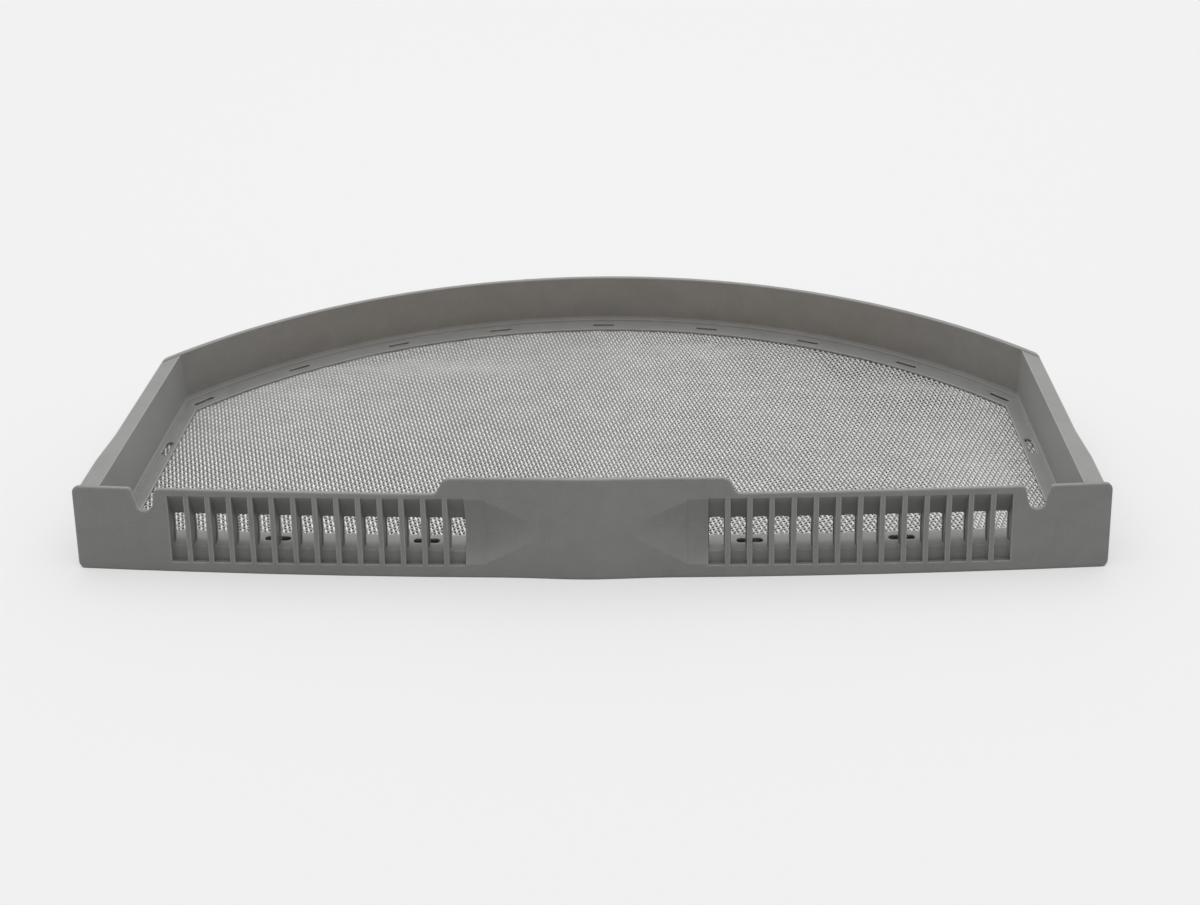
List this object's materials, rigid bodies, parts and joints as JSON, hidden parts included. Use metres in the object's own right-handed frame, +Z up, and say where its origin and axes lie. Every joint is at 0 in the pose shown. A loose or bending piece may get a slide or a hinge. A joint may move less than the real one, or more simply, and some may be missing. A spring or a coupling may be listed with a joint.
{
  "type": "tumble dryer lint filter",
  "caption": "Shallow D-shaped lint filter: a grey moulded tray with a bowed, louvred front panel, grip tab, side rails and curved back wall, holding a fine woven screen in its ledge.",
  "frame": {"origin": "on the surface that the filter rests on, under the middle of its outline", "axes": "+X along the front panel to the right of someone facing it, +Y back from the panel to the curved wall, +Z up"},
  "size_m": [0.395, 0.212, 0.0387],
  "materials": {
    "moulded_grey": "injection-moulded mid-grey polypropylene with a fine matt grain",
    "woven_mesh": "silver-grey plain-woven monofilament mesh"
  },
  "bodies": {
    "root": {"filter_frame": "moulded_grey", "mesh_screen": "woven_mesh"}
  },
  "joints": []
}
